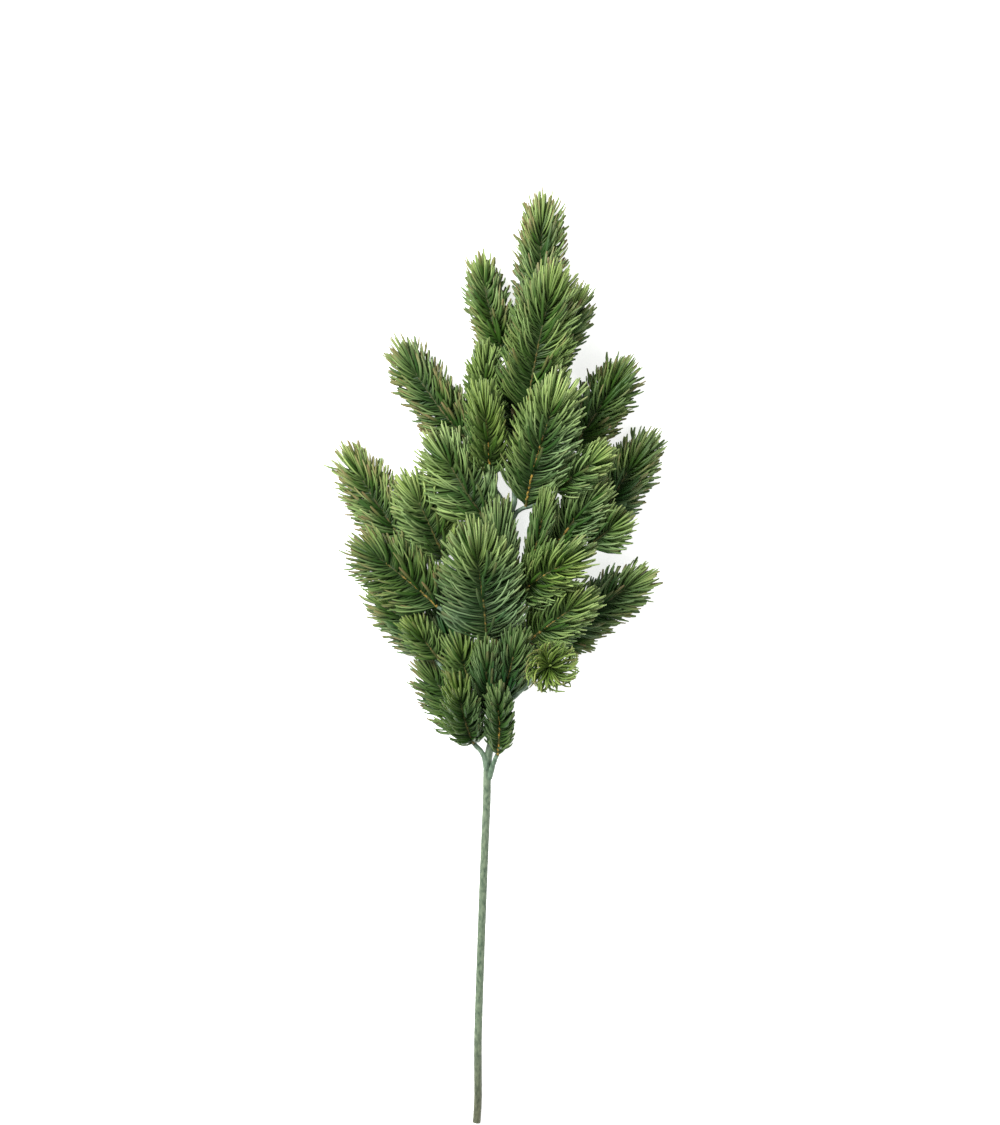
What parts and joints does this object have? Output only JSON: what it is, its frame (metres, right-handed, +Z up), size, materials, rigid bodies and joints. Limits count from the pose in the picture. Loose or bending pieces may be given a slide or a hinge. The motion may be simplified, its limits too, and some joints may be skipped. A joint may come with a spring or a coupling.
{
  "type": "artificial fir branch",
  "caption": "Artificial fir spray with moulded needle sprigs on taped side wires and a long taped wire stem, lying flat.",
  "frame": {"origin": "on the table, under the middle of the whole spray", "axes": "+Y from the cut end of the stem to the crown, +X to the right as seen from above, +Z up off the table"},
  "size_m": [0.2196, 0.6212, 0.086],
  "materials": {
    "stem_tape": "sage green floral tape wound on wire, slightly mottled",
    "wire_tape": "teal green floral tape wound on thin wire",
    "needle_plastic": "moulded needles, satin, deep green with lighter yellow-green tips and a tan spine"
  },
  "bodies": {
    "root": {"main_stem": "stem_tape", "foot_right_branch": "wire_tape", "foot_left_branch": "wire_tape", "low_left_branch": "wire_tape", "mid_left_branch": "wire_tape", "far_left_branch": "wire_tape", "short_left_branch": "wire_tape", "upper_left_branch": "wire_tape", "top_left_branch": "wire_tape", "low_right_branch": "wire_tape", "mid_right_branch": "wire_tape", "far_right_branch": "wire_tape", "upper_right_branch": "wire_tape", "crown_sprig": "needle_plastic", "top_left_sprig": "needle_plastic", "top_front_sprig": "needle_plastic", "top_right_sprig": "needle_plastic", "upper_left_sprig": "needle_plastic", "inner_left_sprig": "needle_plastic", "front_left_sprig": "needle_plastic", "inner_top_sprig": "needle_plastic", "front_right_sprig": "needle_plastic", "upper_right_sprig": "needle_plastic", "inner_right_sprig": "needle_plastic", "middle_right_sprig": "needle_plastic", "far_right_sprig": "needle_plastic", "side_right_sprig": "needle_plastic", "centre_right_sprig": "needle_plastic", "low_front_right_sprig": "needle_plastic", "low_right_sprig": "needle_plastic", "under_right_sprig": "needle_plastic", "upright_sprig": "needle_plastic", "centre_left_sprig": "needle_plastic", "far_left_sprig": "needle_plastic", "middle_left_sprig": "needle_plastic", "front_centre_sprig": "needle_plastic", "side_left_sprig": "needle_plastic", "low_left_sprig": "needle_plastic", "tuft_left_sprig": "needle_plastic", "foot_left_sprig": "needle_plastic", "foot_front_sprig": "needle_plastic", "foot_right_sprig": "needle_plastic", "inner_low_left_sprig": "needle_plastic", "back_centre_sprig": "needle_plastic", "low_middle_left_sprig": "needle_plastic", "inner_middle_sprig": "needle_plastic", "foot_middle_sprig": "needle_plastic", "foot_centre_sprig": "needle_plastic", "under_foot_sprig": "needle_plastic", "under_centre_sprig": "needle_plastic"}
  },
  "joints": []
}
